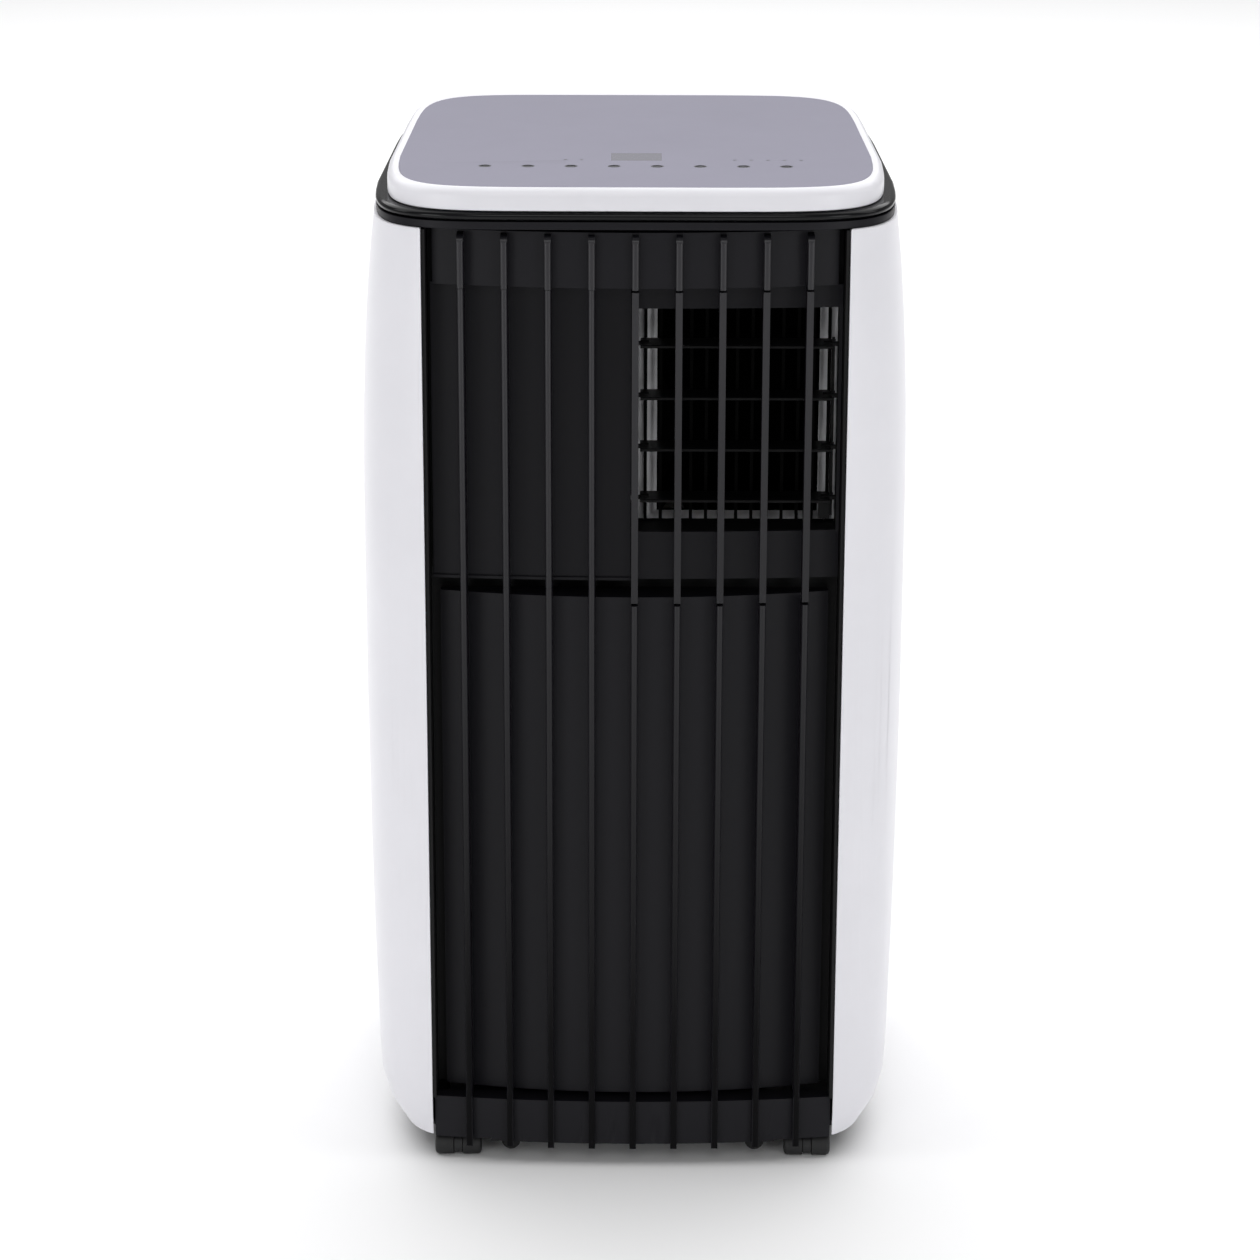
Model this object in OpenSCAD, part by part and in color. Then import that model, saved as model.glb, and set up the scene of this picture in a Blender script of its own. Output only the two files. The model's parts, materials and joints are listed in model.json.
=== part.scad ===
// Portable air conditioner: a floor-standing mono-block unit on four twin-wheel casters.
// The origin is at floor level under the middle of the unit, the front faces -Y, and
// the cooled air leaves through the louvred window in the right half of the front.

/* [Body] */
// Width across the widest part of the side shells
body_w = 384; // [380:1:390]
// Depth from the front fins to the back of the exhaust outlet
body_d = 358; // [356:1:362]
// Height from the floor to the top of the lid
body_h = 722; // [718:1:728]
// Squareness of the plan outline (2 is an ellipse, larger is squarer)
plan_power = 6.5; // [6:0.5:7.5]
// Wall thickness of the moulded side shells
shell_wall = 2.5; // [2:0.5:3]

/* [Front] */
// Width of the black front between the two side shells
front_w = 290; // [286:1:292]
// Spacing of the vertical fins
fin_pitch = 29.6; // [29:0.1:30]
// Thickness of one vertical fin
fin_w = 4.6; // [4:0.2:5]

/* [Outlet] */
// Height of the lowest horizontal louvre blade
blade_low_z = 497.2; // [496:0.1:498]
// Spacing of the horizontal louvre blades
blade_pitch = 36.6; // [36:0.1:37]
// Front-to-back size of a louvre blade
blade_chord = 23; // [20:1:23]
// Tilt of the blades at rest, front edge up
blade_tilt = 0; // [0:1:12]

/* [Casters] */
// Radius of a caster wheel
wheel_r = 8.7; // [8:0.1:8.8]
// Sideways distance of a caster from the middle
caster_x = 127.3; // [122:0.1:128]
// Front or back distance of a swivel axis from the middle
caster_y = 149; // [140:1:149]

/* [Machinery] */
// Radius of the compressor can
compressor_r = 56; // [50:1:58]
// Radius of the blower wheels
blower_r = 76; // [70:1:76]
// Inner radius of the round exhaust outlet
exhaust_r = 68; // [60:1:68]

/* [Hidden] */

$fn = 48;
gap = 0.3;

// Heights of the joints in the outer body, from the floor up
pan_z = 20;
skirt_low_z = 16.6;
skirt_top_z = 50;
panel_low_z = 54;
panel_top_z = 431;
upper_low_z = 442;
visor_low_z = 652;
shell_low_z = 18;
shell_top_z = body_h - 29;
frame_top_z = body_h - 23.4;
lid_low_z = body_h - 16;
deck_z = 432;

// Half-widths of the side shells at three heights
shell_top_hw = body_w / 2 - 10.8;
shell_low_hw = body_w / 2 - 6.5;
widest_z = 424;

// Front surfaces: y at the middle and radius of each convex arc seen from above
fin_y = -body_d / 2;
fin_arc = 1480;
visor_y = fin_y + 6.5;
visor_arc = 700;
upper_y = fin_y + 21;
upper_arc = 1500;
lower_y = fin_y + 13;
lower_arc = 545;
skirt_y = fin_y + 4.8;
skirt_arc = 1020;

// Outlet window and its duct
win_x0 = 2.4;
win_x1 = 139.5;
win_z0 = 476.2;
win_z1 = 634.8;
duct_wall = 1.4;
flare_y = fin_y + 49;
duct_y1 = fin_y + 62;
mouth_x0 = 15.4;
mouth_x1 = 128;
mouth_z0 = 480;
mouth_z1 = 628;
blade_y = fin_y + 36;
blade_t = 2.2;
pin_r = 1.6;
link_pin_r = 1.2;
link_back = 8;
link_x = win_x1 - 3;
blade_count = 4;

// Blower scrolls: the evaporator's above the deck, the condenser's below it
evap_x = -47;
evap_z = 535;
evap_y0 = fin_y + 66;
evap_y1 = -14;
cond_x = 20;
cond_z = 190;
cond_y0 = 0;
cond_y1 = 92;
shaft_r = 4;

// Back of the unit
back_y = 166;
exhaust_x = 0;
exhaust_z = 352;
screw_y = back_y + 4;

// ---------- outlines ----------

// Share of the width left at depth y: the sides close in a little towards the back
function side_taper(y) = 1 - 0.00024 * max(0, y + 50);

// Point of a rounded-square plan outline at angle t
function plan_pt(a, b, t) =
    let (c = cos(t), s = sin(t), p = 2 / plan_power)
    let (y = b * sign(s) * pow(abs(s), p))
    [a * sign(c) * pow(abs(c), p) * side_taper(y), y];

// Closed plan outline with the given half-width and half-depth
function plan_ring(a, b, shift = 0, count = 72) =
    [for (i = [0:count - 1]) plan_pt(a, b, 360 * (i + 0.5) / count) + [0, shift]];

// Half-width of the side shells at height z, without the rounding at the foot
function shell_hw(z) =
    let (up = max(0, (z - widest_z) / (shell_top_z - widest_z)))
    let (dn = max(0, (widest_z - z) / (widest_z - shell_low_z)))
    body_w / 2 - (body_w / 2 - shell_top_hw) * pow(up, 3) - (body_w / 2 - shell_low_hw) * pow(dn, 2.4);

// How far the rounding at the foot draws the side shells in
function foot_inset(z) =
    let (q = max(0, (63 - z) / 55.5))
    36 * (1 - sqrt(1 - q * q));

function shell_a(z) = shell_hw(z) - foot_inset(z);
function shell_b(z) = body_d / 2 - 3 + 3 * z / shell_top_z - 0.2 * foot_inset(z);

// Points of a convex arc seen from above, from x0 to x1
function arc_pts(x0, x1, y, r, count = 24) =
    [for (i = [0:count]) let (x = x0 + (x1 - x0) * i / count) [x, y + r - sqrt(r * r - x * x)]];

function flip(list) = [for (i = [len(list) - 1:-1:0]) list[i]];

// Middle of fin number i, counted from 0 at the left
function fin_x(i) = (i - 4) * fin_pitch;
function fin_front(x) = fin_y + fin_arc - sqrt(fin_arc * fin_arc - x * x);
function upper_front(x) = upper_y + upper_arc - sqrt(upper_arc * upper_arc - x * x);
function lower_front(x) = lower_y + lower_arc - sqrt(lower_arc * lower_arc - x * x);
function blade_z(i) = blade_low_z + blade_pitch * (blade_count - i);

// ---------- shared shapes ----------

// Block between two corners
module block(lo, hi) {
    translate(lo)
        cube([hi[0] - lo[0], hi[1] - lo[1], hi[2] - lo[2]]);
}

// Cylinder along Y from y0 to y1
module rod_y(r, x, z, y0, y1) {
    translate([x, y1, z])
        rotate([90, 0, 0])
            cylinder(r = r, h = y1 - y0);
}

// Cylinder along X from x0 to x1
module rod_x(r, y, z, x0, x1) {
    translate([x0, y, z])
        rotate([0, 90, 0])
            cylinder(r = r, h = x1 - x0);
}

// Upright plate whose front follows a convex arc
module arc_plate(x0, x1, y, r, thick, z0, z1) {
    translate([0, 0, z0])
        linear_extrude(height = z1 - z0)
            polygon(concat(arc_pts(x0, x1, y, r), flip(arc_pts(x0, x1, y + thick, r))));
}

// Level slab between a convex arc at the front and a straight line at the back
module arc_slab(x0, x1, y, r, y_back, z0, z1) {
    translate([0, 0, z0])
        linear_extrude(height = z1 - z0)
            polygon(concat(arc_pts(x0, x1, y, r), [[x1, y_back], [x0, y_back]]));
}

// Vertical fin number i, with its front corners rounded at the ends asked for
module fin(i, z0, z1, y_back, top_r = 0, low_r = 0) {
    x = fin_x(i);
    y0 = fin_front(x);
    top = [for (k = [0:6]) let (t = 15 * k) [y0 + top_r * (1 - cos(t)), z1 - top_r * (1 - sin(t))]];
    low = [for (k = [0:6]) let (t = 15 * k) [y0 + low_r * (1 - sin(t)), z0 + low_r * (1 - cos(t))]];
    outline = concat(
        low_r > 0 ? low : [[y0, z0]],
        top_r > 0 ? top : [[y0, z1]],
        [[y_back, z1], [y_back, z0]]
    );
    translate([x - fin_w / 2, 0, 0])
        rotate([90, 0, 90])
            linear_extrude(height = fin_w)
                polygon(outline);
}

// Solid skinned over plan outlines stacked in height
module stack(levels) {
    n = len(levels[0][1]);
    pts = [for (l = levels) for (p = l[1]) [p[0], p[1], l[0]]];
    sides = [
        for (k = [0:len(levels) - 2]) for (i = [0:n - 1])
            let (j = (i + 1) % n, a = k * n)
            each [[a + i, a + n + i, a + j], [a + j, a + n + i, a + n + j]]
    ];
    low = [[for (i = [0:n - 1]) i]];
    top = [[for (i = [n - 1:-1:0]) (len(levels) - 1) * n + i]];
    polyhedron(points = pts, faces = concat(low, sides, top), convexity = 4);
}

// Round tube or bar along a list of points, with ball corners
module pipe(pts, r) {
    for (i = [0:len(pts) - 2]) {
        d = pts[i + 1] - pts[i];
        translate(pts[i])
            rotate([0, acos(d[2] / norm(d)), atan2(d[1], d[0])])
                cylinder(r = r, h = norm(d), $fn = 24);
    }
    for (p = pts)
        translate(p)
            sphere(r = r, $fn = 24);
}

function unit(v) = v / norm(v);

// Thin tube of eight sides swept smoothly along a list of points
module tube(pts, r) {
    n = len(pts);
    dir = [for (i = [0:n - 1]) unit(pts[min(i + 1, n - 1)] - pts[max(i - 1, 0)])];
    side = [for (i = 0, u = unit(cross(dir[0], [1, 0, 0])); i < n;
        i = i + 1, u = let (d = dir[min(i, n - 1)]) unit(u - (u * d) * d)) u];
    rings = [for (i = [0:n - 1], k = [0:7])
        pts[i] + r * (cos(45 * k) * side[i] + sin(45 * k) * cross(dir[i], side[i]))];
    walls = [
        for (i = [0:n - 2], k = [0:7])
            let (a = 8 * i + k, b = 8 * i + (k + 1) % 8)
            each [[a, a + 8, b], [b, a + 8, b + 8]]
    ];
    ends = [[for (k = [0:7]) k], [for (k = [7:-1:0]) 8 * n - 8 + k]];
    polyhedron(points = rings, faces = concat(walls, ends), convexity = 6);
}

// ---------- base, casters and feet ----------

// Swivel axis of the caster in the corner given by two signs
function caster_at(sx, sy) = [sx * caster_x, sy * caster_y];

module base_pan() {
    socket_r = 4.06;
    color([0.12, 0.12, 0.13]) {
        difference() {
            union() {
                translate([0, 0, pan_z])
                    linear_extrude(height = 4)
                        polygon(plan_ring(shell_a(pan_z) - 3.4, shell_b(pan_z) - 13));
                for (sx = [-1, 1], sy = [-1, 1])
                    translate([sx * caster_x, sy * caster_y, pan_z])
                        cylinder(r = 9, h = 26);
                // Walls of the sump under the condenser
                difference() {
                    block([-134, 70, pan_z], [134, 156, 44]);
                    block([-131, 73, pan_z + 4], [131, 153, 45]);
                }
            }
            for (sx = [-1, 1], sy = [-1, 1])
                translate([sx * caster_x, sy * caster_y, pan_z - 1])
                    cylinder(r = socket_r, h = 30);
        }
        // Front skirt, a little higher over the casters
        arc_plate(-103, 103, skirt_y, skirt_arc, 3, skirt_low_z, skirt_top_z);
        arc_plate(-143.5, 143.5, skirt_y, skirt_arc, 3, shell_low_z, skirt_top_z);
        arc_slab(-143.5, 143.5, skirt_y, skirt_arc, -154, skirt_top_z - 3, skirt_top_z);
        arc_slab(-102, 102, skirt_y, skirt_arc, -158, pan_z, pan_z + 4);
        for (i = [1:7])
            fin(i, 14, skirt_top_z + 4, skirt_y + 8, 0, 2);
        // The outer fins are cut away behind their tips, where the casters swing
        for (i = [0, 8]) {
            fin(i, 14, shell_low_z + 1, fin_front(fin_x(i)) + 2, 0, 1.5);
            fin(i, shell_low_z, skirt_top_z + 4, skirt_y + 12);
        }
        // Ribs that the lower coil stands on
        for (x = [-90, 86])
            block([x, 110, pan_z + 3], [x + 4, 150, pan_z + 6]);
        // Back skirt
        block([-134, 160, shell_low_z], [134, 163, skirt_top_z]);
        block([-100, 150, pan_z], [100, 163, pan_z + 4]);
    }
}

module bumper_feet() {
    color([0.08, 0.08, 0.08])
        for (sx = [-1, 1])
            translate([sx * 88.8, fin_y + 22, 0]) {
                translate([0, 0, 12])
                    sphere(r = 7);
                translate([0, 0, 12])
                    cylinder(r = 4, h = pan_z - 12);
            }
}

// Swivel body of a caster: disc between the wheels, neck, flange and stem
module caster_body(sx, sy) {
    c = caster_at(sx, sy);
    color([0.14, 0.14, 0.15])
        translate([c[0], c[1], 0]) {
            difference() {
                union() {
                    rod_x(wheel_r - 1.2, -6, wheel_r, -3, 3);
                    block([-3, -10, wheel_r], [3, 3, 17.9]);
                }
                rod_x(1.56, -6, wheel_r, -4, 4);
            }
            translate([0, 0, 17.6])
                cylinder(r = 8, h = 2.2);
            translate([0, 0, 17.6])
                cylinder(r = 4, h = 26);
        }
}

// Pair of wheels on their axle
module caster_wheels(sx, sy) {
    c = caster_at(sx, sy);
    profile = [[0, 3.4], [wheel_r, 3.4], [wheel_r, 14.2], [wheel_r - 0.8, 16], [wheel_r - 2.6, 16.8],
        [5.5, 16.8], [4.5, 15.6], [0, 15.6]];
    color([0.1, 0.1, 0.1])
        translate([c[0], c[1] - 6, wheel_r]) {
            for (s = [-1, 1])
                rotate([0, s * 90, 0])
                    rotate_extrude()
                        polygon(profile);
            rod_x(1.5, 0, 0, -4, 4);
        }
}

// ---------- outer skin ----------

// One side shell: a curved skin between two plan outlines, for x > 0
module side_shell() {
    rows = 26;
    cols = 36;
    z_at = [for (k = [0:rows - 1]) let (q = k / (rows - 1)) shell_low_z + (shell_top_z - shell_low_z) * (q * q * 0.35 + q * 0.65)];
    skins = [for (w = [0, shell_wall]) for (z = z_at)
        let (a = shell_a(z) - w, b = shell_b(z) - w)
        let (t_end = acos(pow(front_w / 2 / a, plan_power / 2)))
        for (i = [0:cols - 1])
            let (p = plan_pt(a, b, -t_end + 2 * t_end * i / (cols - 1)))
            [p[0], p[1], z]];
    in0 = rows * cols;
    skin_faces = [for (k = [0:rows - 2]) for (i = [0:cols - 2])
        let (a = k * cols + i, b = a + 1, c = a + cols, d = c + 1)
        each [[a, c, b], [b, c, d], [in0 + a, in0 + b, in0 + c], [in0 + b, in0 + d, in0 + c]]];
    rim_faces = [for (i = [0:cols - 2])
        let (a = i, b = i + 1, c = (rows - 1) * cols + i, d = c + 1)
        each [[a, b, in0 + a], [b, in0 + b, in0 + a], [c, in0 + c, d], [d, in0 + c, in0 + d]]];
    edge_faces = [for (k = [0:rows - 2])
        let (a = k * cols, c = a + cols, b = a + cols - 1, d = b + cols)
        each [[a, in0 + a, c], [c, in0 + a, in0 + c], [b, d, in0 + b], [d, in0 + d, in0 + b]]];
    polyhedron(points = skins, faces = concat(skin_faces, rim_faces, edge_faces), convexity = 6);
}

module right_shell() {
    color([0.87, 0.87, 0.89])
        side_shell();
}

module left_shell() {
    color([0.87, 0.87, 0.89])
        mirror([1, 0, 0])
            side_shell();
}

// Upright frame behind the front panels, with a cheek beside each shell edge
module front_frame() {
    plate_y = fin_y + 40;
    color([0.05, 0.05, 0.055]) {
        difference() {
            block([-142, plate_y, skirt_top_z + 1], [142, plate_y + 3, shell_top_z - 4]);
            block([-16, plate_y - 1, win_z0 - 3], [143, plate_y + 4, win_z1 + 3]);
        }
        for (s = [-1, 1])
            block([s > 0 ? 142.2 : -144.7, fin_y + 9, skirt_top_z + 1],
                [s > 0 ? 144.7 : -142.2, plate_y + 3, shell_top_z - 1]);
        for (s = [-1, 1])
            block([s > 0 ? 141 : -143, plate_y, skirt_top_z + 1],
                [s > 0 ? 143 : -141, plate_y + 3, shell_top_z - 4]);
    }
}

module lower_panel() {
    color([0.13, 0.13, 0.135]) {
        arc_plate(-135.5, 135.5, lower_y, lower_arc, 2.5, panel_low_z, panel_top_z);
        arc_slab(-135.5, 135.5, lower_y, lower_arc, fin_y + 36, panel_top_z - 2.5, panel_top_z);
        for (s = [-1, 1])
            block([s > 0 ? 133 : -135.5, fin_y + 30, panel_low_z],
                [s > 0 ? 135.5 : -133, fin_y + 36, panel_top_z - 1]);
        for (i = [0:8])
            fin(i, skirt_top_z + 4, i < 4 ? upper_low_z - 1.1 : panel_top_z - 2.6, fin_y + 31);
    }
}

module upper_panel() {
    color([0.12, 0.12, 0.125]) {
        arc_plate(-140, -2.8, upper_y + 1, upper_arc, 2.5, upper_low_z, visor_low_z - 0.2);
        arc_slab(-140, -2.8, upper_y - 0.5, upper_arc, fin_y + 30, upper_low_z - 1, upper_low_z + 1);
        for (i = [0:3])
            fin(i, upper_low_z - 1, visor_low_z - 0.2, fin_y + 27);
    }
}

// Front of the outlet: a frame round the window with five fins across it
module outlet_bezel() {
    y = upper_y;
    color([0.13, 0.13, 0.135]) {
        arc_plate(-2.3, 141.7, y, upper_arc, 2.5, upper_low_z, win_z0);
        arc_plate(-2.3, 141.7, y, upper_arc, 2.5, win_z1, visor_low_z - 1.4);
        arc_slab(-2.3, 141.7, y - 1.5, upper_arc, fin_y + 23, upper_low_z - 1, upper_low_z + 1);
        for (x = [[-2.3, win_x0], [win_x1, 141.7]])
            block([x[0], y + (x[0] > 0 ? 6.5 : 0.2), win_z0 - 2], [x[1], y + (x[0] > 0 ? 8.9 : 2.2), win_z1 + 2]);
        for (i = [4:8])
            let (nose = min(lower_front(fin_x(i)) - 0.3, fin_front(fin_x(i)) + 14)) {
                fin(i, panel_top_z - 0.8, visor_low_z - 1.4, nose, 1, 1);
                block([fin_x(i) - fin_w / 2, nose - 1, panel_top_z + 0.2],
                    [fin_x(i) + fin_w / 2, fin_front(fin_x(i)) + (i == 4 ? 22 : 17), visor_low_z - 1.4]);
            }
        for (i = [5:8], z = [[upper_low_z, win_z0], [win_z1, visor_low_z - 1.4]])
            block([fin_x(i) - fin_w / 2, fin_front(fin_x(i)) + 16, z[0]],
                [fin_x(i) + fin_w / 2, upper_front(fin_x(i)) + 1.2, z[1]]);
    }
}

// Brow above the front panels
module visor() {
    color([0.17, 0.17, 0.18]) {
        arc_plate(-138, 138, visor_y, visor_arc, 3, visor_low_z, shell_top_z - 2.5);
        arc_slab(-138, 138, visor_y, visor_arc, fin_y + 36, visor_low_z, visor_low_z + 3);
        arc_slab(-138, 138, visor_y, visor_arc, fin_y + 36, shell_top_z - 5.5, shell_top_z - 2.5);
        for (i = [0:8])
            fin(i, visor_low_z, shell_top_z - 4, visor_y + 12, 5);
    }
}

// Frame that closes the top of the body and shows as a lip under the collar
module top_frame() {
    color([0.16, 0.16, 0.17])
        difference() {
            translate([0, 0, shell_top_z + 0.2])
                linear_extrude(height = frame_top_z - shell_top_z - 0.2)
                    polygon(plan_ring(shell_top_hw - 1.6, body_d / 2 - 2));
            block([-120, -110, shell_top_z - 1], [120, 120, frame_top_z + 1]);
        }
}

// Glossy band between the lid and the body
module collar() {
    a = shell_top_hw - 1.2;
    b = body_d / 2 - 0.5;
    levels = [[0, 5], [0.6, 2.4], [1.6, 0.8], [3, 0], [4.6, 0.2], [6, 1.2], [7.2, 3.4]];
    color([0.03, 0.03, 0.03])
        difference() {
            stack([for (l = levels) [frame_top_z + 0.1 + l[0], plan_ring(a - l[1], b - l[1])]]);
            block([-130, -130, frame_top_z - 1], [130, 130, lid_low_z + 1]);
        }
}

module lid() {
    a = shell_top_hw - 9.7;
    b = body_d / 2 - 0.6;
    levels = [[0, 1.4], [0.5, 0.5], [1.4, 0], [9.4, 0], [12, 0.5], [14, 1.7], [15.3, 3.4], [15.8, 4.2]];
    color([0.88, 0.88, 0.9])
        difference() {
            stack([for (l = levels) [lid_low_z + l[0], plan_ring(a - l[1], b - l[1])]]);
            glass_outline(lid_low_z + 13, 4, 0.15);
            translate([0, 0, lid_low_z - 1])
                linear_extrude(height = 11)
                    polygon(plan_ring(a - 9, b - 9));
        }
}

// Outline of the grey touch panel, from height z, grown by the clearance given
module glass_outline(z, thick, clear = 0) {
    translate([0, 0, z])
        linear_extrude(height = thick)
            polygon(plan_ring(shell_top_hw - 17.7 + clear, 169.2 + clear, -4.8));
}

// Places of the touch keys and of the small lamps on the panel: [x, y, radius]
key_spots = [for (i = [0:7]) [(i - 3.5) * fin_pitch, -104, 4.4]];
lamp_spots = concat(
    [for (x = [-48.5, -37.5]) [x, -82, 1.2]],
    [for (i = [0:4]) [68.5 + 11.5 * i, -82, 1.2]]
);

module display_cut(z, thick, clear = 0) {
    block([-17 - clear, -85 - clear, z], [18 + clear, -58 + clear, z + thick]);
}

module control_glass() {
    color([0.62, 0.62, 0.67])
        difference() {
            glass_outline(lid_low_z + 13, 3);
            display_cut(body_h - 0.6, 1, 0.05);
            for (s = concat(key_spots, lamp_spots))
                translate([s[0], s[1], body_h - 0.6])
                    cylinder(r = s[2] + 0.05, h = 1);
        }
}

module display_window() {
    color([0.7, 0.7, 0.74])
        display_cut(body_h - 0.6, 0.6);
}

// Inlaid rings of the touch keys and dots of the lamps
module key_marks() {
    color([0.45, 0.45, 0.5]) {
        for (s = key_spots)
            translate([s[0], s[1], body_h - 0.6])
                difference() {
                    cylinder(r = s[2], h = 0.6);
                    translate([0, 0, 0.3])
                        cylinder(r = s[2] - 1.2, h = 3);
                }
        for (s = lamp_spots)
            translate([s[0], s[1], body_h - 0.6])
                cylinder(r = s[2], h = 0.6);
    }
}

module control_board() {
    color([0.1, 0.35, 0.2]) {
        block([-120, -125, lid_low_z + 6], [120, -60, lid_low_z + 7.6]);
        for (s = key_spots)
            translate([s[0], s[1], lid_low_z + 7.6])
                cylinder(r = 6, h = 1.6);
        block([-15, -83, lid_low_z + 7.6], [16, -61, lid_low_z + 9.4]);
    }
}

// ---------- outlet ----------

// Straight tunnel behind the window, with the holes the blades turn in
module outlet_duct() {
    x0 = win_x0 - duct_wall;
    x1 = win_x1 + duct_wall;
    color([0.08, 0.08, 0.085])
        difference() {
            arc_slab(x0, x1, upper_y + 2.7, upper_arc, flare_y - 0.1, win_z0 - duct_wall, win_z1 + duct_wall);
            block([win_x0, upper_y, win_z0], [win_x1, flare_y + 1, win_z1]);
            for (i = [1:blade_count])
                rod_x(pin_r + 0.06, blade_y, blade_z(i), x0 - 1, x1 + 1);
        }
}

module finger_guard() {
    y = flare_y - 1;
    bars = 13;
    pitch = (win_x1 - win_x0 - 10.3) / (bars - 1);
    color([0.06, 0.06, 0.06]) {
        for (i = [0:bars - 1])
            translate([win_x0 + 4.9 + pitch * i - 1.1, y, win_z0 + 0.9])
                cube([2.2, 3, win_z1 - win_z0 - 2.2]);
        for (z = [win_z0 + 0.1, win_z1 - 1.6])
            block([win_x0 + 0.1, y, z], [win_x1 - 0.1, y + 0.95, z + 1.5]);
    }
}

// Horizontal louvre blade number i, turned about its own pivot line
module blade(i) {
    x0 = win_x0 + 1.2;
    x1 = link_x - 1.4;
    color([0.08, 0.08, 0.085])
        translate([0, blade_y, blade_z(i)])
            rotate([-blade_tilt, 0, 0]) {
                block([x0, -blade_chord / 2 + 1.1, -blade_t / 2], [x1, blade_chord / 2 - 0.5, blade_t / 2]);
                rod_x(blade_t / 2, -blade_chord / 2 + 1.1, 0, x0, x1);
                rod_x(2.4, 0, 0, x0, x0 + 6);
                rod_x(2.4, 0, 0, x1 - 6, x1);
                rod_x(pin_r, 0, 0, i == blade_count ? win_x0 - 8 : win_x0 - 1.3, x0 + 1);
                rod_x(pin_r, 0, 0, x1 - 1, win_x1 + 1.3);
                rod_x(link_pin_r, link_back, 0, x1 - 1, link_x + 1.6);
                // Finger tab under the lowest blade
                if (i == blade_count)
                    block([x1 - 7.6, -3, -14.5], [x1, -1, 0]);
            }
}

// Height and depth of the pin that joins the link to blade i
function link_pin(i) =
    [blade_y + link_back * cos(blade_tilt), blade_z(i) - link_back * sin(blade_tilt)];

// Upright bar that ties the four blades together
module louvre_link() {
    low = link_pin(blade_count);
    top = link_pin(1);
    color([0.05, 0.05, 0.05])
        difference() {
            union() {
                block([link_x - 1, low[0] - 2.4, low[1] - 14.5], [link_x + 1, low[0] + 2.4, top[1]]);
                for (i = [1:blade_count])
                    rod_x(2.8, link_pin(i)[0], link_pin(i)[1], link_x - 1, link_x + 1);
            }
            for (i = [1:blade_count])
                rod_x(link_pin_r + (i == 1 ? 0.06 : 0.35), link_pin(i)[0], link_pin(i)[1], link_x - 2, link_x + 2);
        }
}

// Small stepper motor that turns the lowest blade from the left of the duct
module louvre_motor() {
    z = blade_z(blade_count);
    color([0.75, 0.75, 0.76])
        difference() {
            union() {
                rod_x(11, blade_y + 1, z, -14, -3.2);
                rod_x(4, blade_y, z, -3.2, -0.2);
            }
            rod_x(pin_r + 0.06, blade_y, z, -9, 1);
        }
}

// ---------- blowers ----------

// Outline of a scroll round the origin, opening to the right, grown by g
function scroll_outline(g, reach) =
    concat(
        [for (k = [0:26]) let (t = -25 - 245 * k / 26, r = blower_r + 10 + 15 * k / 26 + g)
            [r * cos(t), r * sin(t)]],
        [[reach + g, blower_r + 25 + g], [reach + g, -61 - g], [83 - g, -61 - g]]
    );

// Scroll housing standing in the XZ plane from y0 to y1, with an inlet at the back
module scroll(y0, y1, reach) {
    wall = 2;
    inlet_r = blower_r - 14;
    translate([0, y1, 0])
        rotate([90, 0, 0])
            difference() {
                linear_extrude(height = y1 - y0)
                    polygon(scroll_outline(0, reach));
                translate([0, 0, wall])
                    linear_extrude(height = y1 - y0 - 2 * wall)
                        polygon(scroll_outline(-wall, reach));
                translate([0, 0, -1])
                    cylinder(r = inlet_r, h = wall + 2);
                translate([0, 0, y1 - y0 - wall - 1])
                    cylinder(r = shaft_r + 4, h = wall + 2);
            }
}

// Forward-curved blower wheel about the Y axis, with its shaft towards the front
module blower_wheel(y0, y1, shaft_y) {
    blades = 36;
    rod_y(blower_r, 0, 0, y0, y0 + 2);
    difference() {
        rod_y(blower_r, 0, 0, y1 - 3, y1);
        rod_y(blower_r - 11, 0, 0, y1 - 4, y1 + 1);
    }
    for (i = [0:blades - 1])
        rotate([0, 360 * i / blades, 0])
            translate([blower_r - 10.5, y0 + 1, -1])
                rotate([0, 24, 0])
                    cube([10, y1 - y0 - 2, 1.2]);
    rod_y(14, 0, 0, y0, y0 + 24);
    rod_y(shaft_r, 0, 0, shaft_y, y0 + 24);
}

// Fan motor in front of a scroll, open for the shaft
module fan_motor(r, y0, y1) {
    difference() {
        union() {
            rod_y(r, 0, 0, y0 + 4, y1 - 3);
            rod_y(r - 8, 0, 0, y0, y1 - 1);
            for (t = [45:90:315])
                rotate([0, t, 0])
                    block([r - 4, y1 - 4, -6], [r + 9, y1 - 0.2, 6]);
        }
        rod_y(shaft_r + 0.06, 0, 0, y0 + 6, y1 + 1);
    }
}

module evap_scroll() {
    x0 = win_x0 - duct_wall;
    x1 = win_x1 + duct_wall;
    z0 = win_z0 - duct_wall;
    z1 = win_z1 + duct_wall;
    back = evap_y0 + 1;
    color([0.55, 0.55, 0.57])
        difference() {
            union() {
                translate([evap_x, 0, evap_z])
                    scroll(evap_y0, evap_y1, 133 - evap_x);
                // Mouth that flares out to the tunnel in front of it
                translate([0, 0, z0])
                    linear_extrude(height = z1 - z0) {
                        polygon([[x0, flare_y], [win_x0, flare_y], [mouth_x0, duct_y1], [mouth_x0, back], [x0, back]]);
                        polygon([[x1, flare_y], [win_x1, flare_y], [mouth_x1, duct_y1], [mouth_x1, back], [x1, back]]);
                    }
                translate([x0, 0, 0])
                    rotate([90, 0, 90])
                        linear_extrude(height = x1 - x0) {
                            polygon([[flare_y, z0], [flare_y, win_z0], [duct_y1, mouth_z0], [back, mouth_z0], [back, z0]]);
                            polygon([[flare_y, z1], [flare_y, win_z1], [duct_y1, mouth_z1], [back, mouth_z1], [back, z1]]);
                        }
            }
            block([mouth_x0, evap_y0 - 1, mouth_z0], [mouth_x1, evap_y0 + 3, mouth_z1]);
        }
}

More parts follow.
